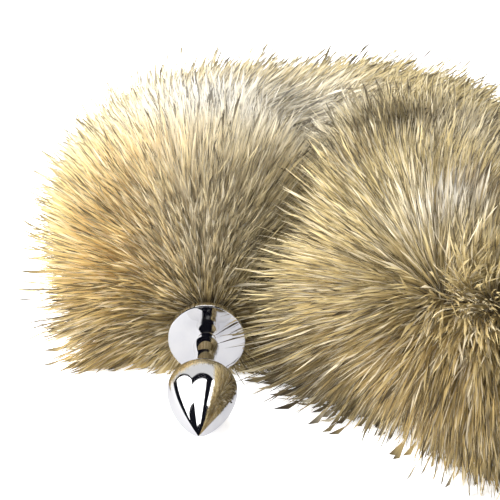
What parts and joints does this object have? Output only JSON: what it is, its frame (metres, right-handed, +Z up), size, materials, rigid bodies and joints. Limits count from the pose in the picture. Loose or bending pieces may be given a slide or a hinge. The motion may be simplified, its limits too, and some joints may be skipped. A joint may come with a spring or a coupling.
{
  "type": "fox tail butt plug",
  "caption": "Small polished metal plug with a thick tan and brown faux fox tail, lying curled on a surface.",
  "frame": {"origin": "on the surface that it lies on, under the middle of its box", "axes": "+Z up, +Y from the plug's tip back along the plug to the curl of the tail, +X from the plug to the leg of the tail that comes forward"},
  "size_m": [0.2592, 0.3032, 0.0987],
  "materials": {
    "polished_metal": "mirror polished",
    "faux_fur": "long deep pile",
    "post_metal": "plain"
  },
  "bodies": {
    "root": {"plug": "polished_metal", "tail_post": "post_metal", "fur_tail": "faux_fur"}
  },
  "joints": []
}
